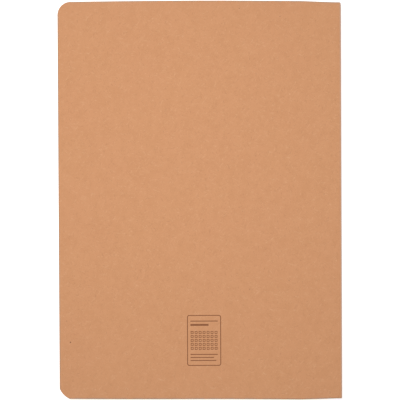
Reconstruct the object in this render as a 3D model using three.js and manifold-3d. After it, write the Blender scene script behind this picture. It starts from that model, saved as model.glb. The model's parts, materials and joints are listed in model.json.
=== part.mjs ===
// A5 planner with a plain card cover: sixteen sheets folded once and nested in a folded cover,
// held through the fold by two wire stitches. It lies on its front cover, back cover up.
// Millimetres. +X points to the spine, +Y to the head, +Z up. The origin is under the middle.

import * as THREE from 'three';
import { mergeVertices } from 'three/addons/utils/BufferGeometryUtils.js';
import Module from 'manifold-3d';

const wasm = await Module();
wasm.setup();

// Cover and sheets
const COVER_HEIGHT = 210;
const COVER_WIDTH = 149.2;
const COVER_THICKNESS = 0.45;
const SHEET_COUNT = 16;
const LEAF_THICKNESS = 0.12;
const LEAF_AIR = 0.04;

// Fore-edge corners, cut through the whole planner at once. The tail cut bites past both edges.
const HEAD_CORNER_RADIUS = 6.9;
const HEAD_CORNER_OVERCUT = 0;
const TAIL_CORNER_RADIUS = 10.5;
const TAIL_CORNER_OVERCUT = 0.9;

// Fold: each sheet bends round the sheets inside it, within this distance of the hinge line
const BEND_ZONE = 4;
const FOLD_AIR = 0.025;
const FOLD_SQUARENESS = 5;
const LEAF_TO_FOLD_GAP = 0.05;

// Wire stitches, driven through the fold from outside and clinched inside it
const WIRE_DIAMETER = 0.4;
const WIRE_BEND_RADIUS = 0.3;
const STITCH_CROWN = 12;
const STITCH_CLINCH = 3.2;
const STITCH_SPACING = 104;
const CROWN_PROUD = 0.1;
const CLINCH_CLEARANCE = 0.06;
const HOLE_CLEARANCE = 0.1;
const GROOVE_CLEARANCE = 0.03;

// Facets
const CORNER_SEGMENTS = 4;
const FOLD_SEGMENTS = 12;
const WIRE_SIDES = 8;
const BEND_STEPS = 4;

// Heights of the flat stack, measured from its middle, where the centre spread opens
const leafPitch = LEAF_THICKNESS + LEAF_AIR;
const coverInside = SHEET_COUNT * leafPitch + LEAF_AIR / 2;
const halfStack = coverInside + COVER_THICKNESS;

// Radii of the nested folds, measured from the hinge line, which the clinched wire lies on
const innerFoldRadius = WIRE_DIAMETER / 2 + CLINCH_CLEARANCE;
const foldPitch = LEAF_THICKNESS + FOLD_AIR;
const coverFoldInside = innerFoldRadius + SHEET_COUNT * foldPitch;
const coverFoldOutside = coverFoldInside + COVER_THICKNESS;

// Places across the planner
const foreEdgeX = -(COVER_WIDTH + CROWN_PROUD) / 2;
const spineX = foreEdgeX + COVER_WIDTH;
const hingeX = spineX - coverFoldOutside;
const foldStartX = hingeX - BEND_ZONE;
const leafEndX = foldStartX - LEAF_TO_FOLD_GAP;
const crownX = spineX + CROWN_PROUD - WIRE_DIAMETER / 2;

const kraftCard = { color: 0xd39b72, roughness: 0.9, metalness: 0 };
const paper = { color: 0xf1ece0, roughness: 0.85, metalness: 0 };
const steelWire = { color: 0xb9bbbd, roughness: 0.35, metalness: 1 };

const planner = new THREE.Group();
planner.name = 'planner';

function addPiece(name, geometry, look, middleHeight = 0) {
  const piece = new THREE.Mesh(geometry, new THREE.MeshStandardMaterial(look));
  piece.name = name;
  piece.position.z = halfStack + middleHeight;
  planner.add(piece);
}

function toSolid(geometry) {
  const bare = geometry.clone();
  bare.deleteAttribute('normal');
  bare.deleteAttribute('uv');
  const merged = mergeVertices(bare);
  return new wasm.Manifold(new wasm.Mesh({
    numProp: 3,
    vertProperties: new Float32Array(merged.attributes.position.array),
    triVerts: new Uint32Array(merged.index.array),
  }));
}

function toGeometry(solid) {
  const mesh = solid.getMesh();
  const geometry = new THREE.BufferGeometry();
  geometry.setAttribute('position', new THREE.BufferAttribute(mesh.vertProperties, 3));
  geometry.setIndex(new THREE.BufferAttribute(mesh.triVerts, 1));
  geometry.computeVertexNormals();
  return geometry;
}

// One quarter turn of the corner cutter, in the corner at (foreEdgeX, side * half the height).
// The cutter's middle lies the radius less the overcut inside both edges.
function cutCorner(shape, side, radius, overcut) {
  const inset = radius - overcut;
  const middleX = foreEdgeX + inset;
  const middleY = side * (COVER_HEIGHT / 2 - inset);
  const bite = Math.acos(inset / radius);
  const atForeEdge = Math.PI - side * bite;
  const atHeadOrTail = side * (Math.PI / 2 + bite);
  if (side > 0) {
    shape.absarc(middleX, middleY, radius, atHeadOrTail, atForeEdge, false);
  } else {
    shape.absarc(middleX, middleY, radius, atForeEdge, atHeadOrTail + 2 * Math.PI, false);
  }
}

function leafOutline() {
  const shape = new THREE.Shape();
  shape.moveTo(leafEndX, -COVER_HEIGHT / 2);
  shape.lineTo(leafEndX, COVER_HEIGHT / 2);
  cutCorner(shape, 1, HEAD_CORNER_RADIUS, HEAD_CORNER_OVERCUT);
  cutCorner(shape, -1, TAIL_CORNER_RADIUS, TAIL_CORNER_OVERCUT);
  shape.closePath();
  return shape;
}

const outline = leafOutline();

function flatPlate(thickness) {
  return new THREE.ExtrudeGeometry(outline, {
    depth: thickness,
    bevelEnabled: false,
    curveSegments: CORNER_SEGMENTS,
  });
}

// The bend of a fold about the hinge line, from below to above: half of a superellipse. A
// squareness of 2 is a half circle, and a pressed fold is flatter on top, with tighter corners.
function bendPoints(radius) {
  const points = [];
  for (let step = 0; step <= FOLD_SEGMENTS; step += 1) {
    const angle = (step / FOLD_SEGMENTS - 0.5) * Math.PI;
    const across = Math.cos(angle) ** (2 / FOLD_SQUARENESS);
    const up = Math.sign(angle) * Math.abs(Math.sin(angle)) ** (2 / FOLD_SQUARENESS);
    points.push(new THREE.Vector2(hingeX + radius * across, radius * up));
  }
  return points;
}

// Section of a fold: two legs that leave the flat stack at their own height and spread or close
// to the radius of their bend at the hinge line
function foldSection(legInside, foldInside, wall) {
  return new THREE.Shape([
    new THREE.Vector2(foldStartX, -legInside - wall),
    ...bendPoints(foldInside + wall),
    new THREE.Vector2(foldStartX, legInside + wall),
    new THREE.Vector2(foldStartX, legInside),
    ...bendPoints(foldInside).reverse(),
    new THREE.Vector2(foldStartX, -legInside),
  ]);
}

function foldStrip(legInside, foldInside, wall) {
  const strip = new THREE.ExtrudeGeometry(foldSection(legInside, foldInside, wall), {
    depth: COVER_HEIGHT,
    bevelEnabled: false,
  });
  strip.rotateX(Math.PI / 2);
  strip.translate(0, COVER_HEIGHT / 2, 0);
  return strip;
}

const stitchMiddles = [STITCH_SPACING / 2, -STITCH_SPACING / 2];
const legPlaces = stitchMiddles.flatMap((y) => [y - STITCH_CROWN / 2, y + STITCH_CROWN / 2]);

// Holes for the four stitch legs, from inside the innermost fold out past the spine
function legHoles() {
  const start = hingeX + innerFoldRadius / 2;
  const end = spineX + CROWN_PROUD;
  const radius = WIRE_DIAMETER / 2 + HOLE_CLEARANCE;
  const cutters = legPlaces.map((y) => {
    const cutter = new THREE.CylinderGeometry(radius, radius, end - start, WIRE_SIDES);
    cutter.rotateZ(Math.PI / 2);
    cutter.translate((start + end) / 2, y, 0);
    return toSolid(cutter);
  });
  return cutters.reduce((all, cutter) => all.add(cutter));
}

const holes = legHoles();

// The channel that a crown is pressed into along the back of the cover
function crownChannel(y) {
  const reach = WIRE_DIAMETER / 2 + GROOVE_CLEARANCE;
  const floor = crownX - reach;
  const depth = spineX + CROWN_PROUD - floor;
  const channel = new THREE.BoxGeometry(depth, STITCH_CROWN + 2 * reach, 2 * reach);
  channel.translate(floor + depth / 2, y, 0);
  return toSolid(channel);
}

function piercedFold(legInside, foldInside, wall) {
  return toSolid(foldStrip(legInside, foldInside, wall)).subtract(holes);
}

// A path that turns each inner corner of a line of points on an arc. Every stretch takes the
// same share of the parameter, so that a straight run costs one step and a bend a few.
class BentWirePath extends THREE.Curve {
  constructor(corners, bendRadius, bendSteps) {
    super();
    this.stations = [corners[0]];
    for (let i = 1; i < corners.length - 1; i += 1) {
      const back = corners[i - 1].clone().sub(corners[i]).normalize();
      const ahead = corners[i + 1].clone().sub(corners[i]).normalize();
      const middle = corners[i].clone().addScaledVector(back, bendRadius);
      middle.addScaledVector(ahead, bendRadius);
      for (let step = 0; step <= bendSteps; step += 1) {
        const angle = (step / bendSteps) * (Math.PI / 2);
        const station = middle.clone().addScaledVector(ahead, -bendRadius * Math.cos(angle));
        station.addScaledVector(back, -bendRadius * Math.sin(angle));
        this.stations.push(station);
      }
    }
    this.stations.push(corners[corners.length - 1]);
    this.stretches = this.stations.length - 1;
  }

  getPoint(t, target = new THREE.Vector3()) {
    const place = Math.min(Math.max(t, 0), 1) * this.stretches;
    const stretch = Math.min(Math.floor(place), this.stretches - 1);
    return target.lerpVectors(
      this.stations[stretch], this.stations[stretch + 1], place - stretch);
  }

  getUtoTmapping(u) {
    return u;
  }
}

function wireSection() {
  const points = [];
  for (let side = 0; side < WIRE_SIDES; side += 1) {
    const angle = (side / WIRE_SIDES) * 2 * Math.PI;
    points.push(new THREE.Vector2(Math.cos(angle), Math.sin(angle)));
  }
  return new THREE.Shape(points.map((point) => point.multiplyScalar(WIRE_DIAMETER / 2)));
}

// A stitch: crown along the spine, a leg through every fold at each end, and both leg ends
// bent towards each other along the hinge line, inside the centre spread
function stitch(middleY) {
  const half = STITCH_CROWN / 2;
  const corners = [
    new THREE.Vector3(hingeX, middleY - half + STITCH_CLINCH, 0),
    new THREE.Vector3(hingeX, middleY - half, 0),
    new THREE.Vector3(crownX, middleY - half, 0),
    new THREE.Vector3(crownX, middleY + half, 0),
    new THREE.Vector3(hingeX, middleY + half, 0),
    new THREE.Vector3(hingeX, middleY + half - STITCH_CLINCH, 0),
  ];
  const path = new BentWirePath(corners, WIRE_BEND_RADIUS, BEND_STEPS);
  return new THREE.ExtrudeGeometry(wireSection(), { extrudePath: path, steps: path.stretches });
}

// Cover
function addCover() {
  addPiece('cover_front', flatPlate(COVER_THICKNESS), kraftCard, -halfStack);
  addPiece('cover_back', flatPlate(COVER_THICKNESS), kraftCard, coverInside);
  const pierced = piercedFold(coverInside, coverFoldInside, COVER_THICKNESS);
  const spine = stitchMiddles.reduce((card, y) => card.subtract(crownChannel(y)), pierced);
  addPiece('cover_spine', toGeometry(spine), kraftCard);
}

// Sheets, counted from the outside in: each is a front leaf, a fold and a back leaf
function addSheet(number) {
  const inward = SHEET_COUNT - number;
  const leafInside = inward * leafPitch + LEAF_AIR / 2;
  const foldInside = innerFoldRadius + inward * foldPitch;
  const name = `sheet_${String(number).padStart(2, '0')}`;
  addPiece(`${name}_front`, flatPlate(LEAF_THICKNESS), paper, -leafInside - LEAF_THICKNESS);
  addPiece(`${name}_back`, flatPlate(LEAF_THICKNESS), paper, leafInside);
  const fold = piercedFold(leafInside, foldInside, LEAF_THICKNESS);
  addPiece(`${name}_fold`, toGeometry(fold), paper);
}

addCover();
for (let number = 1; number <= SHEET_COUNT; number += 1) {
  addSheet(number);
}
addPiece('stitch_head', stitch(stitchMiddles[0]), steelWire);
addPiece('stitch_tail', stitch(stitchMiddles[1]), steelWire);

export default planner;
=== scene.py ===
"""A thin A5 planner in plain kraft card, lying on its front cover, as seen from above."""

import json
import math

import bpy
import numpy as np
from mathutils import Matrix, Vector


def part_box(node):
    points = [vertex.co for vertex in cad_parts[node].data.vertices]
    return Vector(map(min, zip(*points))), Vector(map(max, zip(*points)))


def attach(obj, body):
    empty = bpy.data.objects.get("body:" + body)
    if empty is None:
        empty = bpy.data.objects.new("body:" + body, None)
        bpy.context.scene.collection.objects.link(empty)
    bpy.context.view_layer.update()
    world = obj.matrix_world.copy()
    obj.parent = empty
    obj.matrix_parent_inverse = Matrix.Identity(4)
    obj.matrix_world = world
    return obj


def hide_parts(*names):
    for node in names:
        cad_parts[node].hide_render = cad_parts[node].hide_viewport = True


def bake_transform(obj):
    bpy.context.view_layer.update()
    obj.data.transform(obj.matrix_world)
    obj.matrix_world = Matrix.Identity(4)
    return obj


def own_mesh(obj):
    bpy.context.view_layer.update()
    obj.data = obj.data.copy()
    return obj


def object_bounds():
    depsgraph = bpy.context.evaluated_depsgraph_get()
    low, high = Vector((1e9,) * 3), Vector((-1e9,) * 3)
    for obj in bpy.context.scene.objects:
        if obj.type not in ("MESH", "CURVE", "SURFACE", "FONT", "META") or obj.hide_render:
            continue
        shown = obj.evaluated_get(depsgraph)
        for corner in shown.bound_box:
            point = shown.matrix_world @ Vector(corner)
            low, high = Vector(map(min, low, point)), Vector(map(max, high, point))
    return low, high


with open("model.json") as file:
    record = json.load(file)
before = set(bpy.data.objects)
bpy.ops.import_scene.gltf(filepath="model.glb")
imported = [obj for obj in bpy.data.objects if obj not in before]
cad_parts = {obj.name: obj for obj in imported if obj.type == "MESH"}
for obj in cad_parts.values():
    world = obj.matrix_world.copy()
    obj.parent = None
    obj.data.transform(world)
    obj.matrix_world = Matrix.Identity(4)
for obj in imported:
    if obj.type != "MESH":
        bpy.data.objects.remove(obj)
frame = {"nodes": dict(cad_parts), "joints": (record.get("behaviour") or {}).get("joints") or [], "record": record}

MM = 0.001
cad_low, cad_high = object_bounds()

# Places read from the frame
hinge_x, _, middle_z = frame["joints"][0]["pos_m"]
fore_edge_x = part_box("cover_back")[0][0]
tail_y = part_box("cover_back")[0][1]
head_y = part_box("cover_back")[1][1]
fold_start_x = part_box("cover_spine")[0][0]
spine_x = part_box("cover_spine")[1][0]
cover_width = hinge_x - fore_edge_x
cover_height = head_y - tail_y
sheet_count = sum(name.endswith("_fold") for name in frame["nodes"])
bodies = frame["record"]["behaviour"]["bodies"]
outer_count = sum(name.endswith("_back") for name in bodies["back_leaves_outer"])

# Halves of the planner, and their side of the centre spread: -1 below it and 1 above
HALVES = (("front", -1), ("back", 1))

# Corner cuts at the fore-edge, as in the part
HEAD_CORNER_RADIUS = 6.9 * MM
TAIL_CORNER_RADIUS = 10.5 * MM
TAIL_CORNER_OVERCUT = 0.9 * MM

# Rows of a leaf, from the tail to the head
TAIL_CORNER_ROWS = 11
HEAD_CORNER_ROWS = 13
ROWS_BETWEEN = 38

# Columns of a leaf: shares of its flat width, and steps in the gutter, where it can curve
FLAT_SHARES = np.array([0, 0.003, 0.01, 0.03, 0.1, 0.2, 0.3, 0.4, 0.5, 0.6, 0.7, 0.8, 0.9, 1])
GUTTER = 4.8 * MM
GUTTER_STEPS = 16

# The pressed fold is half a superellipse of this power
FOLD_SQUARENESS = 5
FOLD_COLUMNS = 31

# A fold in two quarters has a slit between them
QUARTER_COLUMNS = 18
COVER_SLIT = 0.02 * MM
SHEET_SLIT = 0.1 * MM

# The slope in the axis given to the cover's quarters
SPINE_LEAN = 0.14

# The stitches' clinched ends and bends, as in the part
STITCH_CLINCH = 3.2 * MM
WIRE_BEND_RADIUS = 0.3 * MM
WIRE_BEND_STEPS = 7
WIRE_SIDES = 14

# The head and tail cuts aren't quite straight: they draw in towards the fore-edge and the
# spine, and both slant towards the tail on the spine side
BOW_AT_FORE_EDGE = 0.45 * MM
BOW_AT_SPINE = 0.63 * MM
BOW_SPINE_REACH = 22 * MM
SLANT_AT_SPINE = 0.6 * MM

# Radius of the wear at the spine's head corner
SPINE_HEAD_ROUND = 1.0 * MM

# A sheet's fore-edge, head and tail are each trimmed by a random length, in millimetres
SMALLEST_TRIM = 0.02
LARGEST_TRIM = 0.14
NO_TRIM = (0, 0, 0)

# Edges are shaded sharp from these angles up
CARD_SHARP_ANGLE = math.radians(40)
WIRE_SHARP_ANGLE = math.radians(50)

# Sides of a card or sheet in its page map, where 0 is the upper side
UNDERSIDE = 1
CUT = 2


# Meshes

def add_object(name, data):
    """Puts a mesh, a camera or a lamp into the scene."""
    thing = bpy.data.objects.new(name, data)
    bpy.context.scene.collection.objects.link(thing)
    return thing


def add_piece(name, mesh, sharp_angle):
    """Puts a mesh into the scene, shaded smooth below the sharp angle."""
    mesh.polygons.foreach_set("use_smooth", np.ones(len(mesh.polygons), bool))
    mesh.set_sharp_from_angle(angle=sharp_angle)
    mesh.validate()
    return add_object(name, mesh)


def grid(*parts):
    """Points on a grid, from coordinates that are each a number, a row, a column or a grid."""
    return np.stack(np.broadcast_arrays(*parts), -1)


def closed_mesh(name, upper, lower, page_places):
    """A closed mesh between two grids of points, rows towards the head and columns towards the
    spine. The upper grid's faces point up, the lower grid's are turned over, and a wall runs
    round the rim. The page map holds, in metres, the distance from the fold and the height
    above the tail, with 1 m added to the distance on the underside and 2 m on the cut walls."""
    rows, columns = upper.shape[:2]
    index = np.arange(rows * columns).reshape(rows, columns)
    quads = np.stack([index[:-1, :-1], index[:-1, 1:], index[1:, 1:], index[1:, :-1]], -1)
    quads = quads.reshape(-1, 4)
    rim = np.concatenate([index[0, :-1], index[:-1, -1], index[-1, :0:-1], index[:0:-1, 0]])
    ahead = np.roll(rim, -1)
    under = rows * columns
    wall = np.stack([rim + under, ahead + under, ahead, rim], -1)
    faces = np.concatenate([quads, quads[:, ::-1] + under, wall])
    points = np.concatenate([upper.reshape(-1, 3), lower.reshape(-1, 3)])
    mesh = bpy.data.meshes.new(name)
    mesh.from_pydata(points, [], faces.tolist())
    places = np.concatenate([page_places.reshape(-1, 2)] * 2)[faces.ravel()]
    corner_counts = 4 * np.array([len(quads), len(quads), len(wall)])
    places[:, 0] += np.repeat([0.0, UNDERSIDE, CUT], corner_counts)
    page = mesh.uv_layers.new(name="page")
    page.data.foreach_set("uv", places.astype(np.float32).ravel())
    return add_piece(name, mesh, CARD_SHARP_ANGLE)


def outline_rows():
    """Heights of the rows, and where the fore-edge lies on each. In a corner a row is at the
    height of an arc point, middle + radius * sin(a), and starts at middle - radius * cos(a)."""
    bite = TAIL_CORNER_RADIUS - TAIL_CORNER_OVERCUT
    lowest = -math.asin(bite / TAIL_CORNER_RADIUS)
    highest = -math.acos(bite / TAIL_CORNER_RADIUS)
    tail = np.linspace(lowest, highest, TAIL_CORNER_ROWS)
    tail_y_rows = tail_y + bite + TAIL_CORNER_RADIUS * np.sin(tail)
    tail_x = fore_edge_x + bite - TAIL_CORNER_RADIUS * np.cos(tail)
    head = np.linspace(0, math.pi / 2, HEAD_CORNER_ROWS)
    head_y_rows = head_y - HEAD_CORNER_RADIUS + HEAD_CORNER_RADIUS * np.sin(head)
    head_x = fore_edge_x + HEAD_CORNER_RADIUS * (1 - np.cos(head))
    between = np.linspace(tail_y_rows[-1], head_y_rows[0], ROWS_BETWEEN + 2)[1:-1]
    y = np.concatenate([tail_y_rows, between, head_y_rows])
    x = np.concatenate([tail_x, np.full(len(between), fore_edge_x), head_x])
    return y, x


row_y, row_x = outline_rows()


def trimmed_rows(trim):
    """Heights of the rows, times 1 - trim / head_y with the head's or the tail's own trim."""
    return row_y * (1 - np.where(row_y > 0, trim[1], trim[2]) / head_y)


def smooth(value, low, high):
    """The smooth step t * t * (3 - 2 * t), where t goes from 0 at low to 1 at high."""
    t = np.clip((value - low) / (high - low), 0, 1)
    return t * t * (3 - 2 * t)


def bowed(points):
    """Draws the head and tail in: y shrinks by a share that grows as the square of the distance
    from the middle towards the fore-edge, and as a smooth step within reach of the spine. Then
    y moves towards the tail by a smooth step from the middle to the spine. The head corner at
    the spine is worn to an arc: t goes from 0 to 1 over its radius, and y drops by the radius
    times 1 - sqrt(1 - t * t), times the cube of the height's share of the head's."""
    x = points[..., 0]
    left = np.clip(x / fore_edge_x, 0, 1) ** 2
    right = smooth(x, spine_x - BOW_SPINE_REACH, spine_x)
    draw = (BOW_AT_FORE_EDGE * left + BOW_AT_SPINE * right) / head_y
    out = points.copy()
    out[..., 1] *= 1 - draw
    out[..., 1] -= SLANT_AT_SPINE * smooth(x, 0, spine_x)
    t = np.clip((x - spine_x) / SPINE_HEAD_ROUND + 1, 0, 1)
    headward = np.clip(points[..., 1] / head_y, 0, 1) ** 3
    out[..., 1] -= SPINE_HEAD_ROUND * (1 - np.sqrt(1 - t * t)) * headward
    return out


def leaf_piece(name, side, flat_inside, bend_inside, wall, trim=NO_TRIM):
    """A cover half or leaf, from its fore-edge to the hinge line. The flat stretch keeps its
    height, and the leg moves by a smooth step to the height of its bend. side is 1 above the
    centre spread and -1 below it. trim draws in the fore-edge, the head and the tail."""
    y = trimmed_rows(trim)[:, None]
    left = (row_x + trim[0])[:, None]
    gutter_x = np.linspace(hinge_x - GUTTER, hinge_x, GUTTER_STEPS + 1)
    flat_x = left + (gutter_x[0] - left) * FLAT_SHARES
    x = np.concatenate([flat_x, np.broadcast_to(gutter_x[1:], (len(y), GUTTER_STEPS))], 1)
    inside = flat_inside + (bend_inside - flat_inside) * smooth(x, fold_start_x, hinge_x)
    near = grid(x, y, middle_z + side * inside)
    far = grid(x, y, middle_z + side * (inside + wall))
    upper, lower = (far, near) if side > 0 else (near, far)
    return closed_mesh(name, bowed(upper), bowed(lower), grid(hinge_x - x, y - tail_y))


def fold_piece(name, angle, bend_inside, wall, trim):
    """A stretch of a fold about the hinge line, for angles a that go down from pi / 2 above the
    line towards -pi / 2 below it: x = r * |cos(a)| ** (2 / n) and z = r * |sin(a)| ** (2 / n)
    with the sign of a, where n is the squareness."""
    y = trimmed_rows(trim)[:, None]
    across = np.abs(np.cos(angle)) ** (2 / FOLD_SQUARENESS)
    up = np.sign(angle) * np.abs(np.sin(angle)) ** (2 / FOLD_SQUARENESS)
    inner = grid(hinge_x + bend_inside * across, y, middle_z + bend_inside * up)
    radius = bend_inside + wall
    outer = grid(hinge_x + radius * across, y, middle_z + radius * up)
    return closed_mesh(name, bowed(outer), bowed(inner), grid(-bend_inside * across, y - tail_y))


def quarter_angles(side, radius, slit):
    """Angles of one quarter of a fold. It stops half a slit short of the middle, where
    sin(a) = (slit / 2 / radius) ** (n / 2)."""
    last = math.asin((slit / 2 / radius) ** (FOLD_SQUARENESS / 2))
    angle = np.linspace(math.pi / 2, last, QUARTER_COLUMNS)
    return angle if side > 0 else -angle[::-1]


def wire_piece(name, corners, radius):
    """A round wire in a plane of constant z. Each inner corner of the line is turned on an arc,
    middle - bend_radius * (ahead * cos(a) + back * sin(a)), and each ring stands across the
    mean of the directions on both its sides."""
    corners = np.array(corners)
    stations = [corners[:1]]
    angle = np.linspace(0, math.pi / 2, WIRE_BEND_STEPS + 1)[:, None]
    for before, corner, after in zip(corners, corners[1:], corners[2:]):
        back = (before - corner) / np.linalg.norm(before - corner)
        ahead = (after - corner) / np.linalg.norm(after - corner)
        middle = corner + WIRE_BEND_RADIUS * (back + ahead)
        turned = ahead * np.cos(angle) + back * np.sin(angle)
        stations.append(middle - WIRE_BEND_RADIUS * turned)
    stations = np.concatenate(stations + [corners[-1:]])
    ways = np.diff(stations, axis=0)
    ways /= np.linalg.norm(ways, axis=1)[:, None]
    mean = np.concatenate([ways[:1], ways[:-1] + ways[1:], ways[-1:]])
    mean /= np.linalg.norm(mean, axis=1)[:, None]
    across = np.stack([mean[:, 1], -mean[:, 0], np.zeros(len(mean))], -1)
    turn = np.linspace(0, 2 * math.pi, WIRE_SIDES, endpoint=False)
    ring = radius * np.cos(turn)[None, :, None] * across[:, None]
    ring = ring + radius * np.sin(turn)[None, :, None] * np.array([0, 0, 1.0])
    points = (stations[:, None] + ring).reshape(-1, 3)
    index = np.arange(len(points)).reshape(-1, WIRE_SIDES)
    beside = np.roll(index, -1, axis=1)
    quads = np.stack([index[:-1], beside[:-1], beside[1:], index[1:]], -1).reshape(-1, 4)
    faces = quads.tolist() + [index[0, ::-1].tolist(), index[-1].tolist()]
    mesh = bpy.data.meshes.new(name)
    mesh.from_pydata(points, [], faces)
    return add_piece(name, mesh, WIRE_SHARP_ANGLE)


# Shader nodes

NUMBER = "NodeSocketFloat"
PLACE = "NodeSocketVector"


def link(tree, value, socket):
    """Feeds a socket from another node's output, or sets it to a number, colour or place."""
    if hasattr(value, "links"):
        tree.links.new(value, socket)
    else:
        socket.default_value = value


def calc(tree, operation, *values):
    """One Math node. A value is a number or another node's output."""
    node = tree.nodes.new("ShaderNodeMath")
    node.operation = operation
    for socket, value in zip(node.inputs, values):
        link(tree, value, socket)
    return node.outputs[0]


def vector_calc(tree, operation, *values):
    """The outputs of one Vector Math node."""
    node = tree.nodes.new("ShaderNodeVectorMath")
    node.operation = operation
    for socket, value in zip(node.inputs, values):
        link(tree, value, socket)
    return node.outputs


def all_of(tree, mask, *others):
    """1 where every mask is 1: the product of the masks."""
    for other in others:
        mask = calc(tree, "MULTIPLY", mask, other)
    return mask


def any_of(tree, mask, *others):
    """1 where at least one mask is 1: the largest of the masks."""
    for other in others:
        mask = calc(tree, "MAXIMUM", mask, other)
    return mask


def blend_colour(tree, share, first, second):
    """The first colour where share is 0, the second where it is 1, and a mix between."""
    node = tree.nodes.new("ShaderNodeMix")
    node.data_type = "RGBA"
    link(tree, share, node.inputs["Factor"])
    link(tree, first, node.inputs["A"])
    link(tree, second, node.inputs["B"])
    return node.outputs["Result"]


def stain(tree, colour, tint, mask, strength):
    """Lays a tint over the colour, by a share of mask times strength."""
    return blend_colour(tree, calc(tree, "MULTIPLY", mask, strength), colour, tint)


def noise(tree, place, scale, detail, roughness=0.5):
    """The outputs of one Noise node."""
    node = tree.nodes.new("ShaderNodeTexNoise")
    link(tree, place, node.inputs["Vector"])
    link(tree, scale, node.inputs["Scale"])
    link(tree, detail, node.inputs["Detail"])
    link(tree, roughness, node.inputs["Roughness"])
    return node.outputs


def ramp(tree, value, start, end):
    """Goes by a smooth step from 0 at start to 1 at end. Either of them may be the larger."""
    node = tree.nodes.new("ShaderNodeMapRange")
    node.interpolation_type = "SMOOTHSTEP"
    link(tree, value, node.inputs["Value"])
    link(tree, start, node.inputs["From Min"])
    link(tree, end, node.inputs["From Max"])
    return node.outputs["Result"]


def object_place(tree):
    """Object coordinates, which are the planner's own metres."""
    return tree.nodes.new("ShaderNodeTexCoord").outputs["Object"]


def new_group(name, inputs, outputs):
    """An empty node group. An input is a label, a kind and a value, and an output is a label of
    a number. Returns the group, the sockets that bring values in and those that take them out."""
    group = bpy.data.node_groups.new(name, "ShaderNodeTree")
    for label, kind, value in inputs:
        socket = group.interface.new_socket(label, in_out="INPUT", socket_type=kind)
        socket.default_value = value
    for label in outputs:
        group.interface.new_socket(label, in_out="OUTPUT", socket_type=NUMBER)
    inside = group.nodes.new("NodeGroupInput").outputs
    outside = group.nodes.new("NodeGroupOutput").inputs
    return group, inside, outside


def place_group(tree, group, **values):
    """Places a node group with its values and returns its outputs."""
    node = tree.nodes.new("ShaderNodeGroup")
    node.node_tree = group
    for label, value in values.items():
        link(tree, value, node.inputs[label])
    return node.outputs


def make_grain_group():
    """Noise, and a mask of it that goes by a smooth step from 0 at Low to 1 at High."""
    group, inside, outside = new_group(
        "grain",
        [("Place", PLACE, (0, 0, 0)), ("Scale", NUMBER, 1000.0), ("Detail", NUMBER, 2.0),
         ("Roughness", NUMBER, 0.5), ("Low", NUMBER, 0.3), ("High", NUMBER, 0.7)],
        ["Value", "Mask"])
    value = noise(group, inside["Place"], inside["Scale"], inside["Detail"], inside["Roughness"])
    link(group, value["Fac"], outside["Value"])
    link(group, ramp(group, value["Fac"], inside["Low"], inside["High"]), outside["Mask"])
    return group


# Slow noise bends the fibres by up to this length, and their edges fade over this much noise
FIBRE_BEND = 3.0 * MM
FIBRE_BEND_SCALE = 160
FIBRE_SOFTNESS = 0.08


def make_fibre_group():
    """Thin bent streaks in one direction: noise on turned coordinates that are divided by the
    fibre's length and width, after a slow noise has bent them. A fibre shows where the noise
    is above Level."""
    group, inside, outside = new_group(
        "fibres",
        [("Place", PLACE, (0, 0, 0)), ("Turn", NUMBER, 0.0), ("Length", NUMBER, 3.0 * MM),
         ("Width", NUMBER, 0.3 * MM), ("Level", NUMBER, 0.6)],
        ["Fibre"])
    bend = noise(group, inside["Place"], FIBRE_BEND_SCALE, detail=1)["Color"]
    bent = vector_calc(group, "MULTIPLY_ADD", bend, [FIBRE_BEND] * 3, inside["Place"])["Vector"]
    turned = group.nodes.new("ShaderNodeVectorRotate")
    turned.rotation_type = "Z_AXIS"
    link(group, bent, turned.inputs["Vector"])
    link(group, inside["Turn"], turned.inputs["Angle"])
    size = group.nodes.new("ShaderNodeCombineXYZ")
    link(group, inside["Length"], size.inputs["X"])
    link(group, inside["Width"], size.inputs["Y"])
    link(group, inside["Width"], size.inputs["Z"])
    stretched = vector_calc(group, "DIVIDE", turned.outputs[0], size.outputs[0])["Vector"]
    streaks = noise(group, stretched, scale=1, detail=1)["Fac"]
    above = calc(group, "SUBTRACT", streaks, inside["Level"])
    link(group, ramp(group, above, 0.0, FIBRE_SOFTNESS), outside["Fibre"])
    return group


# A fleck's edge fades over this share of the spacing
FLECK_SOFTNESS = 0.03


def make_fleck_group():
    """Flecks in round cells. Each cell's own random colour decides whether it holds one, by
    Share, and how large it is, up to Radius, which is a share of the spacing."""
    group, inside, outside = new_group(
        "flecks",
        [("Place", PLACE, (0, 0, 0)), ("Spacing", NUMBER, 4.0 * MM), ("Share", NUMBER, 0.3),
         ("Radius", NUMBER, 0.1)],
        ["Fleck"])
    cells = group.nodes.new("ShaderNodeTexVoronoi")
    link(group, inside["Place"], cells.inputs["Vector"])
    link(group, calc(group, "DIVIDE", 1.0, inside["Spacing"]), cells.inputs["Scale"])
    draw = group.nodes.new("ShaderNodeSeparateColor")
    link(group, cells.outputs["Color"], draw.inputs["Color"])
    chosen = calc(group, "LESS_THAN", draw.outputs[0], inside["Share"])
    radius = calc(group, "MULTIPLY", draw.outputs[1], inside["Radius"])
    near = calc(group, "SUBTRACT", radius, cells.outputs["Distance"])
    speck = ramp(group, near, 0.0, FLECK_SOFTNESS)
    link(group, all_of(group, speck, chosen), outside["Fleck"])
    return group


grain_group = make_grain_group()
fibre_group = make_fibre_group()
fleck_group = make_fleck_group()


def grain(tree, place, scale, detail, low, high, roughness=0.5):
    """Places the grain group and returns its value and its mask."""
    return place_group(tree, grain_group, Place=place, Scale=scale, Detail=detail,
                       Roughness=roughness, Low=low, High=high)


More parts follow.
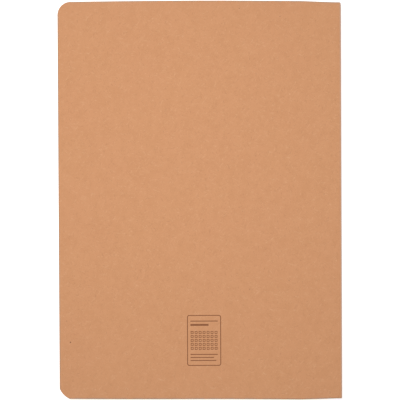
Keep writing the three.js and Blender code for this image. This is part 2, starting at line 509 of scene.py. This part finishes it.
def mottled(tree, place, colour, clouds):
    """Lays one tint after another over the colour, each by its own noise. Returns the colour
    and the last noise, which is the finest."""
    for scale, detail, roughness, low, high, strength, tint in clouds:
        cloud = grain(tree, place, scale, detail, low, high, roughness)
        colour = stain(tree, colour, tint, cloud["Mask"], strength)
    return colour, cloud["Value"]


def new_material(name):
    """A material, its node tree and its surface shader."""
    material = bpy.data.materials.new(name)
    material.use_nodes = True
    tree = material.node_tree
    return material, tree, tree.nodes["Principled BSDF"]


# Card and paper are at least this rough
DULL_ROUGHNESS = 0.8


def dull_finish(tree, shader, colour, fine, relief, unevenness, bump_strength, bump_depth, gloss):
    """A dull surface. Its roughness grows with the fine noise, and its bump follows relief."""
    link(tree, colour, shader.inputs["Base Color"])
    roughness = calc(tree, "MULTIPLY_ADD", fine, unevenness, DULL_ROUGHNESS)
    link(tree, roughness, shader.inputs["Roughness"])
    shader.inputs["Specular IOR Level"].default_value = gloss
    bump = tree.nodes.new("ShaderNodeBump")
    bump.inputs["Strength"].default_value = bump_strength
    bump.inputs["Distance"].default_value = bump_depth
    link(tree, relief, bump.inputs["Height"])
    link(tree, bump.outputs[0], shader.inputs["Normal"])


def page_map(tree):
    """The side, the distance from the fold and the height above the tail. The side is the
    distance in the map, rounded to whole metres."""
    page = tree.nodes.new("ShaderNodeUVMap")
    page.uv_map = "page"
    parts = tree.nodes.new("ShaderNodeSeparateXYZ")
    link(tree, page.outputs[0], parts.inputs[0])
    side = calc(tree, "FLOOR", calc(tree, "ADD", parts.outputs["X"], 0.5))
    distance = calc(tree, "SUBTRACT", parts.outputs["X"], side)
    return side, distance, parts.outputs["Y"]


# Printed lines. Whole pitches are added before a remainder is taken, so that it is never taken
# of a negative number on a page or cover
SPARE_PITCHES = 40


def band(tree, value, low, high):
    """1 where the value lies between low and high."""
    above = calc(tree, "GREATER_THAN", value, low)
    below = calc(tree, "LESS_THAN", value, high)
    return all_of(tree, above, below)


def patch(tree, x, left, right, y, low, high):
    """1 inside a rectangle."""
    return all_of(tree, band(tree, x, left, right), band(tree, y, low, high))


def to_nearest(tree, value, pitch, start=0.0):
    """The distance to the nearest of start, start + pitch, start - pitch and so on."""
    moved = calc(tree, "ADD", value, (SPARE_PITCHES + 0.5) * pitch - start)
    place = calc(tree, "MODULO", moved, pitch)
    return calc(tree, "ABSOLUTE", calc(tree, "SUBTRACT", place, pitch / 2))


def lines(tree, value, pitch, half_width, start=0.0):
    """1 within half a line's width of start, start + pitch, start - pitch and so on."""
    return calc(tree, "LESS_THAN", to_nearest(tree, value, pitch, start), half_width)


def square_lines(tree, off_x, off_y, half, width):
    """Outlines of squares, from the distances to their middles: the larger distance is at most
    the half size and falls short of it by less than the line's width."""
    return band(tree, calc(tree, "MAXIMUM", off_x, off_y), half - width, half)


# The printed panel on the back cover, in millimetres from the cover's middle
PANEL_X = 1.72
PANEL_Y = -74.0
PANEL_WIDTH = 17.5
PANEL_HEIGHT = 26.4
PANEL_ROUND = 1.0
PANEL_LINE = 0.46
PANEL_INK = (0.235, 0.085, 0.035, 1)

# The blank month grid in its middle: squares of a half size, in columns and rows
MONTH_PITCH = 2.1
MONTH_COLUMNS = 7
MONTH_ROWS = 5
MONTH_SQUARE_HALF = 0.74
MONTH_LINE = 0.36

# The plain rules above and below the grid: start, end, height and half thickness, from the
# panel's middle
PANEL_RULES = [(-7.2, 2.4, 8.2, 0.5),
               (-7.2, 7.2, 10.2, 0.24),
               (-7.2, 7.2, -7.4, 0.24),
               (-7.2, 5.2, -9.0, 0.24),
               (-7.2, 6.4, -10.6, 0.24)]


def panel_frame(tree, x, y):
    """A thin frame with rounded corners, where the rounded box distance,
    length(max(q, 0)) + min(max(qx, qy), 0) - r, is within half a line of 0."""
    qx = calc(tree, "SUBTRACT", calc(tree, "ABSOLUTE", x), PANEL_WIDTH / 2 - PANEL_ROUND)
    qy = calc(tree, "SUBTRACT", calc(tree, "ABSOLUTE", y), PANEL_HEIGHT / 2 - PANEL_ROUND)
    px = calc(tree, "MAXIMUM", qx, 0.0)
    py = calc(tree, "MAXIMUM", qy, 0.0)
    squares = calc(tree, "MULTIPLY_ADD", px, px, calc(tree, "MULTIPLY", py, py))
    outside = calc(tree, "SQRT", squares)
    inside = calc(tree, "MINIMUM", calc(tree, "MAXIMUM", qx, qy), 0.0)
    distance = calc(tree, "SUBTRACT", calc(tree, "ADD", outside, inside), PANEL_ROUND)
    return calc(tree, "LESS_THAN", calc(tree, "ABSOLUTE", distance), PANEL_LINE / 2)


def panel_mask(tree, place):
    """The panel: a frame round a blank month grid of squares, and plain rules."""
    parts = tree.nodes.new("ShaderNodeSeparateXYZ")
    link(tree, place, parts.inputs[0])
    x = calc(tree, "SUBTRACT", calc(tree, "DIVIDE", parts.outputs["X"], MM), PANEL_X)
    y = calc(tree, "SUBTRACT", calc(tree, "DIVIDE", parts.outputs["Y"], MM), PANEL_Y)
    squares = square_lines(tree, to_nearest(tree, x, MONTH_PITCH), to_nearest(tree, y, MONTH_PITCH),
                           MONTH_SQUARE_HALF, MONTH_LINE)
    reach_x = MONTH_COLUMNS / 2 * MONTH_PITCH
    reach_y = MONTH_ROWS / 2 * MONTH_PITCH
    month = all_of(tree, squares, patch(tree, x, -reach_x, reach_x, y, -reach_y, reach_y))
    rules = [patch(tree, x, start, end, y, height - half, height + half)
             for start, end, height, half in PANEL_RULES]
    return any_of(tree, panel_frame(tree, x, y), month, *rules)


# One dark speck of bark in the card, in millimetres from the middle of the back cover
SPECK_X = -68.8
SPECK_Y = -74.7
SPECK_RADIUS = 0.32
SPECK_UNEVENNESS = 0.3
SPECK_SCALE = 3000


def speck_mask(tree, place):
    """An uneven dot: the distance from its middle plus noise, against its radius. The radius
    has half the noise's reach added."""
    middle = (SPECK_X * MM, SPECK_Y * MM, cad_high[2])
    away = vector_calc(tree, "DISTANCE", place, middle)["Value"]
    bumps = noise(tree, place, SPECK_SCALE, detail=2)["Fac"]
    uneven = calc(tree, "MULTIPLY_ADD", bumps, SPECK_UNEVENNESS * MM, away)
    return calc(tree, "LESS_THAN", uneven, (SPECK_RADIUS + SPECK_UNEVENNESS / 2) * MM)


# Kraft card, in linear colour
KRAFT = (0.693, 0.337, 0.167, 1)
KRAFT_LIGHT = (0.80, 0.47, 0.27, 1)
KRAFT_WARM = (0.69, 0.29, 0.17, 1)
KRAFT_OCHRE = (0.58, 0.265, 0.118, 1)
# Greyish painted shade for the cut edges
KRAFT_RIM_SHADE = (0.40, 0.33, 0.27, 1)
# Pale painted sheen for the round of the spine
KRAFT_SPINE_SHEEN = (0.82, 0.54, 0.40, 1)
KRAFT_DARK = (0.46, 0.20, 0.09, 1)
KRAFT_CUT = (0.58, 0.31, 0.17, 1)
# Dark flecks and the speck, and the painted shadow along the tail
KRAFT_SPECK_AND_SHADE = (0.22, 0.10, 0.05, 1)

# Its mottling, coarse to fine: the noise's scale, detail and roughness, the noise where the
# tint starts and where it is full, the tint's strength and the tint
KRAFT_CLOUDS = [(38, 3, 0.6, 0.3, 0.7, 0.06, KRAFT_WARM),
                (210, 4, 0.65, 0.38, 0.66, 0.2, KRAFT_OCHRE),
                (2600, 2, 0.5, 0.45, 0.8, 0.12, KRAFT_DARK)]

# Its fibres: direction in radians, length and width in millimetres, level, strength and tint
KRAFT_FIBRES = [(0.35, 3.2, 0.34, 0.64, 0.44, KRAFT_LIGHT),
                (1.25, 2.4, 0.30, 0.64, 0.36, KRAFT_DARK),
                (2.15, 4.0, 0.38, 0.65, 0.40, KRAFT_LIGHT),
                (2.75, 2.8, 0.32, 0.65, 0.32, KRAFT_DARK)]

# Its flecks: spacing in millimetres, share, radius, strength and tint
KRAFT_FLECKS = [(4.2, 0.3, 0.09, 0.40, KRAFT_SPECK_AND_SHADE),
                (3.1, 0.4, 0.15, 0.36, KRAFT_LIGHT)]

# How far the fine noise and the fibres stand out, against each other
GRAIN_RELIEF = 0.5
FIBRE_RELIEF = 0.35

# Painted light on the card: a patchy painted shade along the cut edges, a painted shadow along
# the tail, and a pale painted sheen round the spine, which starts and is full at these distances
# past the hinge line
RIM_SHADE_WIDTH = 1.0 * MM
RIM_SHADE_STRENGTH = 0.62
TAIL_SHADE_WIDTH = 0.9 * MM
TAIL_SHADE_STRENGTH = 0.33
SPINE_SHEEN_START = 1.5 * MM
SPINE_SHEEN_FULL = 2.5 * MM
SPINE_SHEEN_STRENGTH = 0.5
CUT_STRENGTH = 0.7

# The panel's ink covers at least this share of the card, and this much more where it is whole
INK_SHARE = 0.72
INK_EXTRA = 0.2


def edge_shade_and_spine_sheen(tree, place, distance, height, colour):
    """Painted light on the card: a patchy painted shade along its cut edges, a painted shadow
    along the tail and a pale painted sheen round the spine. Each fades by a smooth step."""
    from_cut = calc(tree, "MINIMUM", height, calc(tree, "SUBTRACT", cover_height, height))
    from_cut = calc(tree, "MINIMUM", from_cut, calc(tree, "SUBTRACT", cover_width, distance))
    patchy = grain(tree, place, scale=320, detail=3, low=0.2, high=0.65)["Mask"]
    # A patchy painted shade along the cut edges
    rim = all_of(tree, ramp(tree, from_cut, RIM_SHADE_WIDTH, 0.0), patchy)
    colour = stain(tree, colour, KRAFT_RIM_SHADE, rim, RIM_SHADE_STRENGTH)
    # A painted shadow along the tail
    tail_shade = ramp(tree, height, TAIL_SHADE_WIDTH, 0.0)
    colour = stain(tree, colour, KRAFT_SPECK_AND_SHADE, tail_shade, TAIL_SHADE_STRENGTH)
    # A pale painted sheen round the spine
    spine_sheen = ramp(tree, distance, -SPINE_SHEEN_START, -SPINE_SHEEN_FULL)
    return stain(tree, colour, KRAFT_SPINE_SHEEN, spine_sheen, SPINE_SHEEN_STRENGTH)


def printed_card(tree, place, side, colour):
    """The panel, in ink that thins in fine patches, and the speck, on the upper side only."""
    on_top = calc(tree, "LESS_THAN", side, UNDERSIDE - 0.5)
    whole = grain(tree, place, scale=1500, detail=3, low=0.25, high=0.5)["Mask"]
    ink = all_of(tree, panel_mask(tree, place), on_top)
    colour = stain(tree, colour, PANEL_INK, ink,
                   calc(tree, "MULTIPLY_ADD", whole, INK_EXTRA, INK_SHARE))
    return stain(tree, colour, KRAFT_SPECK_AND_SHADE, speck_mask(tree, place), on_top)


def kraft_material(name, printed=False):
    """Unbleached card with mottling, fibres at four angles, flecks, painted shade along the edges
    and the tail, a painted sheen round the spine and a paler cut edge, whose plies show. The
    back cover's is printed."""
    material, tree, shader = new_material(name)
    side, distance, height = page_map(tree)
    place = object_place(tree)
    colour, fine = mottled(tree, place, KRAFT, KRAFT_CLOUDS)
    relief = calc(tree, "MULTIPLY", fine, GRAIN_RELIEF)
    for turn, length, width, level, strength, tint in KRAFT_FIBRES:
        fibre = place_group(tree, fibre_group, Place=place, Turn=turn, Length=length * MM,
                            Width=width * MM, Level=level)["Fibre"]
        colour = stain(tree, colour, tint, fibre, strength)
        relief = calc(tree, "MULTIPLY_ADD", fibre, FIBRE_RELIEF, relief)
    for spacing, share, radius, strength, tint in KRAFT_FLECKS:
        fleck = place_group(tree, fleck_group, Place=place, Spacing=spacing * MM, Share=share,
                            Radius=radius)["Fleck"]
        colour = stain(tree, colour, tint, fleck, strength)
    # Painted shade along the cut edges and the tail, and a painted sheen round the spine
    colour = edge_shade_and_spine_sheen(tree, place, distance, height, colour)
    if printed:
        colour = printed_card(tree, place, side, colour)
    plies = grain(tree, place, scale=4200, detail=2, low=0.3, high=0.7)["Mask"]
    cut_colour = blend_colour(tree, plies, KRAFT_CUT, KRAFT_LIGHT)
    on_cut = calc(tree, "GREATER_THAN", side, CUT - 0.5)
    colour = stain(tree, colour, cut_colour, on_cut, CUT_STRENGTH)
    dull_finish(tree, shader, colour, fine, relief, unevenness=0.14, bump_strength=0.35,
                bump_depth=0.02 * MM, gloss=0.25)
    return material


# Page layout, in millimetres: distances from the fold and heights above the tail
PAGE_INNER = 13
PAGE_OUTER = 136
PAGE_TOP = 184
BLOCK_HEIGHT = 43
BLOCK_COUNT = 4
RULE_HALF = 0.16

# The header over the top rule: a strip of small boxes at the outer end, and one line
STRIP_RISE = 7
STRIP_PITCH = 5.0
STRIP_BOXES = 7
BOX_HALF = 2.0
BOX_LINE = 0.25
TITLE_RISE = 5.0
TITLE_WIDTH = 38
TITLE_HALF = 0.15

# In each block: a pale tab at the outer end, and writing lines or dots
TAB_WIDTH = 11
TAB_HEIGHT = 5.5
TAB_SHARE = 0.28
LINE_PITCH = 6.6
LINE_START = 3.0
LINE_HALF = 0.1
DOT_PITCH = 5.0
DOT_HALF = 0.22

# Rules reach this far past the first and last, and lines and dots stay this far inside
RULE_MARGIN = 1


def make_page_group():
    """The ruling of one page: a header with a strip of seven small boxes, four blocks parted by
    rules, each with a small blank tab and light writing lines, and on the underside of a leaf a
    dotted notes block in place of the last ruled one."""
    group, inside, outside = new_group(
        "page_ruling",
        [("Side", NUMBER, 0.0), ("Distance", NUMBER, 0.0), ("Height", NUMBER, 0.0)],
        ["Ink", "Faint"])
    out = calc(group, "DIVIDE", inside["Distance"], MM)
    up = calc(group, "DIVIDE", inside["Height"], MM)
    bottom = PAGE_TOP - BLOCK_COUNT * BLOCK_HEIGHT
    rules = all_of(group, lines(group, up, BLOCK_HEIGHT, RULE_HALF, PAGE_TOP),
                   patch(group, out, PAGE_INNER, PAGE_OUTER,
                         up, bottom - RULE_MARGIN, PAGE_TOP + RULE_MARGIN))
    from_box = to_nearest(group, out, STRIP_PITCH, PAGE_OUTER + STRIP_PITCH / 2)
    from_strip = calc(group, "ABSOLUTE", calc(group, "SUBTRACT", up, PAGE_TOP + STRIP_RISE))
    strip = all_of(group, square_lines(group, from_box, from_strip, BOX_HALF, BOX_LINE),
                   band(group, out, PAGE_OUTER - STRIP_BOXES * STRIP_PITCH, PAGE_OUTER))
    title_up = PAGE_TOP + TITLE_RISE
    title = patch(group, out, PAGE_INNER, PAGE_INNER + TITLE_WIDTH,
                  up, title_up - TITLE_HALF, title_up + TITLE_HALF)
    moved = calc(group, "ADD", up, SPARE_PITCHES * BLOCK_HEIGHT - PAGE_TOP)
    under_rule = calc(group, "SUBTRACT", BLOCK_HEIGHT, calc(group, "MODULO", moved, BLOCK_HEIGHT))
    tab = all_of(group, patch(group, out, PAGE_OUTER - TAB_WIDTH, PAGE_OUTER,
                              under_rule, 0.0, TAB_HEIGHT),
                 band(group, up, bottom, PAGE_TOP))
    ink = any_of(group, rules, strip, title, calc(group, "MULTIPLY", tab, TAB_SHARE))
    notes_top = bottom + BLOCK_HEIGHT - RULE_MARGIN
    notes = all_of(group, inside["Side"], calc(group, "LESS_THAN", up, notes_top))
    writing = all_of(group, lines(group, under_rule, LINE_PITCH, LINE_HALF, LINE_START),
                     calc(group, "SUBTRACT", 1.0, notes))
    dots = all_of(group, lines(group, out, DOT_PITCH, DOT_HALF),
                  lines(group, up, DOT_PITCH, DOT_HALF), notes)
    field = patch(group, out, PAGE_INNER, PAGE_OUTER,
                  up, bottom + RULE_MARGIN, PAGE_TOP - RULE_MARGIN)
    link(group, ink, outside["Ink"])
    link(group, all_of(group, any_of(group, writing, dots), field), outside["Faint"])
    return group


# Paper, in linear colour
PAPER = (0.85, 0.82, 0.745, 1)
PAPER_SHADE = (0.76, 0.72, 0.64, 1)
PAPER_INK = (0.30, 0.26, 0.23, 1)
INK_STRENGTH = 0.75
FAINT_STRENGTH = 0.45
PAPER_CUT_STRENGTH = 0.35

# Its mottling, with the columns of the kraft's
PAPER_CLOUDS = [(240, 4, 0.6, 0.35, 0.75, 0.12, PAPER_SHADE),
                (3200, 2, 0.5, 0.5, 0.8, 0.10, PAPER_SHADE)]


def paper_material():
    """Uncoated paper with a fine grain, printed ruling on both sides and slightly shaded cuts."""
    material, tree, shader = new_material("planner_paper")
    side, distance, height = page_map(tree)
    colour, fine = mottled(tree, object_place(tree), PAPER, PAPER_CLOUDS)
    ruling = place_group(tree, make_page_group(), Side=side, Distance=distance, Height=height)
    on_page = calc(tree, "LESS_THAN", side, CUT - 0.5)
    for label, strength in (("Ink", INK_STRENGTH), ("Faint", FAINT_STRENGTH)):
        colour = stain(tree, colour, PAPER_INK, all_of(tree, ruling[label], on_page), strength)
    on_cut = calc(tree, "GREATER_THAN", side, CUT - 0.5)
    colour = stain(tree, colour, PAPER_SHADE, on_cut, PAPER_CUT_STRENGTH)
    dull_finish(tree, shader, colour, fine, fine, unevenness=0.1, bump_strength=0.2,
                bump_depth=0.01 * MM, gloss=0.2)
    return material


# Steel wire, in linear colour, and its roughness in and between scratches
WIRE_BRIGHT = (0.62, 0.62, 0.61, 1)
WIRE_SCRATCHED = (0.48, 0.48, 0.48, 1)
WIRE_ROUGHNESS = 0.26
SCRATCH_ROUGHNESS = 0.15


def wire_material():
    """Drawn steel wire with fine lengthwise scratches."""
    material, tree, shader = new_material("stitch_wire")
    scratches = place_group(tree, fibre_group, Place=object_place(tree), Turn=math.pi / 2,
                            Length=6 * MM, Width=0.05 * MM, Level=0.5)["Fibre"]
    link(tree, blend_colour(tree, scratches, WIRE_BRIGHT, WIRE_SCRATCHED),
         shader.inputs["Base Color"])
    link(tree, calc(tree, "MULTIPLY_ADD", scratches, SCRATCH_ROUGHNESS, WIRE_ROUGHNESS),
         shader.inputs["Roughness"])
    shader.inputs["Metallic"].default_value = 1.0
    return material


kraft = kraft_material("kraft_card")
kraft_printed = kraft_material("kraft_card_back", printed=True)
paper = paper_material()
wire = wire_material()


# Pieces. A cover half or leaf rides its own body, but the two leaves next to the inner group
# ride none. A fold that only the centre's joint crosses is one piece. A fold that more joints
# cross is two quarters.

def body_of(node):
    """The name of the body that carries a node."""
    return next(body for body, nodes in bodies.items() if node in nodes)


def finish_piece(piece, material, node):
    """Gives a piece its material, and puts it in a node's place."""
    piece.data.materials.append(material)
    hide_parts(node)


random = np.random.default_rng(seed=7)


def random_trim():
    """What is trimmed off a sheet's fore-edge, head and tail."""
    return random.uniform(SMALLEST_TRIM, LARGEST_TRIM, 3) * MM


def fold_sizes(flat_node, fold_node):
    """The flat leaf's distance from the centre spread, the fold's inner radius and the wall,
    which is the thickness of the card or paper."""
    low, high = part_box(flat_node)
    wall = high[2] - low[2]
    return low[2] - middle_z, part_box(fold_node)[1][0] - hinge_x - wall, wall


def add_quarter(name, side, body, material, slot, fold_node, bend_inside, wall, slit, trim, axis):
    """One quarter of a fold. The axis is not used."""
    angle = quarter_angles(side, bend_inside + wall / 2, slit)
    bend = fold_piece(name, angle, bend_inside, wall, trim)
    finish_piece(bend, material, fold_node)
    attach(bend, body)
    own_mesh(bend)


def add_cover():
    """Two boards and two quarters of the spine. The quarters ride the outer leaves, so the spine
    stays round the sheets when one cover alone opens."""
    flat_inside, *bend_sizes = fold_sizes("cover_back", "cover_spine")
    for (half, side), material in zip(HALVES, (kraft, kraft_printed)):
        node = f"cover_{half}"
        board = leaf_piece(f"{node}_board", side, flat_inside, *bend_sizes)
        finish_piece(board, material, node)
        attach(board, body_of(node))
        add_quarter(f"{node}_bend", side, f"{half}_leaves_outer", material, "kraft_card",
                    "cover_spine", *bend_sizes, COVER_SLIT, NO_TRIM, (1, 0, -side * SPINE_LEAN))


def add_sheet(number):
    """A sheet of two leaves and a fold."""
    name = f"sheet_{number:02d}"
    flat_inside, *bend_sizes = fold_sizes(f"{name}_back", f"{name}_fold")
    trims = random_trim(), random_trim()
    for (half, side), trim in zip(HALVES, trims):
        node = f"{name}_{half}"
        leaf = leaf_piece(f"{node}_leaf", side, flat_inside, *bend_sizes, trim)
        finish_piece(leaf, paper, node)
        inner = f"{half}_leaves_inner"
        if number == outer_count:
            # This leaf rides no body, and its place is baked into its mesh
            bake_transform(leaf)
        else:
            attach(leaf, body_of(node))
        if number <= outer_count:
            body = inner if number == outer_count else body_of(node)
            add_quarter(f"{node}_bend", side, body, paper, "paper", f"{name}_fold",
                        *bend_sizes, SHEET_SLIT, trim, (0, 0, 1))
    if number > outer_count:
        angle = np.linspace(math.pi / 2, -math.pi / 2, FOLD_COLUMNS)
        bend = fold_piece(f"{name}_bend", angle, *bend_sizes, trims[0])
        finish_piece(bend, paper, f"{name}_fold")
        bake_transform(bend)


def add_stitch(node):
    """A bent wire."""
    low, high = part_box(node)
    radius = (high[2] - low[2]) / 2
    inside, crown = low[0] + radius, high[0] - radius
    tail_leg, head_leg = low[1] + radius, high[1] - radius
    corners = [(inside, tail_leg + STITCH_CLINCH, middle_z), (inside, tail_leg, middle_z),
               (crown, tail_leg, middle_z), (crown, head_leg, middle_z),
               (inside, head_leg, middle_z), (inside, head_leg - STITCH_CLINCH, middle_z)]
    stitch = wire_piece(f"{node}_wire", corners, radius)
    finish_piece(stitch, wire, node)
    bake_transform(stitch)


add_cover()
for number in range(1, sheet_count + 1):
    add_sheet(number)
add_stitch("stitch_head")
add_stitch("stitch_tail")


# Camera. The picture shows the frame's width at the height of the back cover, where the shifts
# are measured too. The sensor's width is in millimetres, and the tilt and roll in degrees.

VIEW_DISTANCE = 0.9
FRAME_WIDTH = 210.72 * MM
FRAME_SHIFT_X = -0.1 * MM
FRAME_SHIFT_Y = 0.08 * MM
SENSOR_WIDTH = 36.0
CAMERA_TILT = 0.96
CAMERA_ROLL = -0.27


def add_camera():
    """Looks down on the back cover, tilted about the point it looks at and rolled about its own
    line of sight."""
    data = bpy.data.cameras.new("photo_camera")
    data.sensor_width = SENSOR_WIDTH
    data.lens = SENSOR_WIDTH * VIEW_DISTANCE / FRAME_WIDTH
    camera = add_object("photo_camera", data)
    camera.matrix_world = (
        Matrix.Translation((FRAME_SHIFT_X, FRAME_SHIFT_Y, cad_high[2]))
        @ Matrix.Rotation(math.radians(-CAMERA_TILT), 4, "X")
        @ Matrix.Translation((0, 0, VIEW_DISTANCE))
        @ Matrix.Rotation(math.radians(CAMERA_ROLL), 4, "Z"))
    bpy.context.scene.camera = camera


# Light and floor. Lengths are in metres, the lamp's spread is in degrees and its power in watts.

LAMP_PLACE = (-0.2, 0.32, 1.2)
LAMP_AIM = (-0.015, 0.02, 0)
LAMP_SIZE = 0.22
LAMP_SPREAD = 48
LAMP_POWER = 0.646
WORLD_LIGHT = 0.39
WHITE = (1, 1, 1, 1)
FLOOR_COLOUR = (0.82, 0.82, 0.82, 1)
FLOOR_GLOW = 0.68
FLOOR_HALF = 3.0
FLOOR_DROP = 0.02 * MM


def add_lamp():
    """A square lamp above and beyond the head's fore-edge corner, turned towards the cover."""
    data = bpy.data.lights.new("window_light", "AREA")
    data.shape = "SQUARE"
    data.size = LAMP_SIZE
    data.spread = math.radians(LAMP_SPREAD)
    data.energy = LAMP_POWER
    way = Vector(LAMP_AIM) - Vector(LAMP_PLACE)
    turn = way.to_track_quat("-Z", "Y").to_matrix().to_4x4()
    add_object("window_light", data).matrix_world = Matrix.Translation(LAMP_PLACE) @ turn


def seen_directly(tree):
    """1 for rays from the camera, and for those that reach it over metal or through glass."""
    rays = tree.nodes.new("ShaderNodeLightPath").outputs
    return any_of(tree, rays["Is Camera Ray"], rays["Is Glossy Ray"], rays["Is Transmission Ray"])


def set_world():
    """A world that looks white, and lights the planner less than white."""
    world = bpy.data.worlds.new("studio")
    bpy.context.scene.world = world
    world.use_nodes = True
    tree = world.node_tree
    backdrop = tree.nodes["Background"]
    backdrop.inputs["Color"].default_value = WHITE
    strength = calc(tree, "MULTIPLY_ADD", seen_directly(tree), 1 - WORLD_LIGHT, WORLD_LIGHT)
    link(tree, strength, backdrop.inputs["Strength"])


def add_floor():
    """A wide pale floor just under the planner, which looks white to the camera."""
    corners = [(x * FLOOR_HALF, y * FLOOR_HALF, -FLOOR_DROP)
               for x, y in ((-1, -1), (1, -1), (1, 1), (-1, 1))]
    mesh = bpy.data.meshes.new("floor")
    mesh.from_pydata(corners, [], [(0, 1, 2, 3)])
    floor = add_object("floor", mesh)
    material, tree, shader = new_material("pale_floor")
    shader.inputs["Base Color"].default_value = FLOOR_COLOUR
    shader.inputs["Roughness"].default_value = 0.9
    shader.inputs["Specular IOR Level"].default_value = 0.1
    shader.inputs["Emission Color"].default_value = WHITE
    glow = calc(tree, "MULTIPLY", seen_directly(tree), FLOOR_GLOW)
    link(tree, glow, shader.inputs["Emission Strength"])
    mesh.materials.append(material)


add_camera()
add_lamp()
set_world()
add_floor()
bpy.context.scene.view_settings.view_transform = "Standard"
